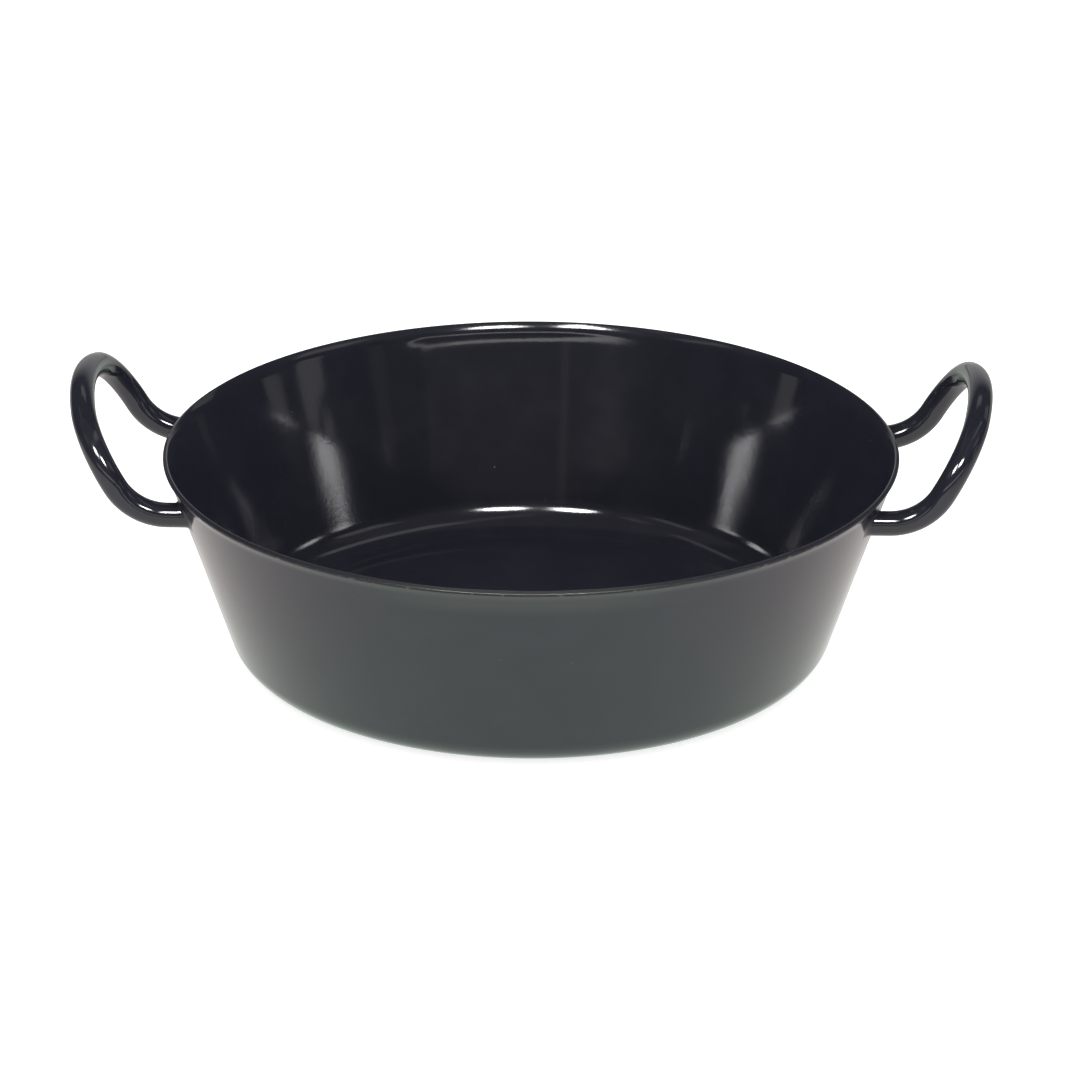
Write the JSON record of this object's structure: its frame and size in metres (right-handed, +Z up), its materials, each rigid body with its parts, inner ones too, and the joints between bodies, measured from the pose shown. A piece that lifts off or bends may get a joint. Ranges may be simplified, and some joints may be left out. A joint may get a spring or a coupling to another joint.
{
  "type": "schnitzel pan",
  "caption": "Round deep frying pan in black enamelled steel: flat base, leaning wall, flared rounded rim and a bent-rod loop handle welded on at each side.",
  "frame": {"origin": "middle of the base, on the plane of the table that the pan stands on", "axes": "+Z up out of the bowl, +X through the two handles, from the left one to the right one"},
  "size_m": [0.349, 0.28, 0.1123],
  "materials": {
    "bowl_enamel": "glossy black vitreous enamel on steel",
    "handle_enamel": "glossy black vitreous enamel on steel rod"
  },
  "bodies": {
    "root": {"pan_bowl": "bowl_enamel", "left_handle": "handle_enamel", "right_handle": "handle_enamel"}
  },
  "joints": []
}
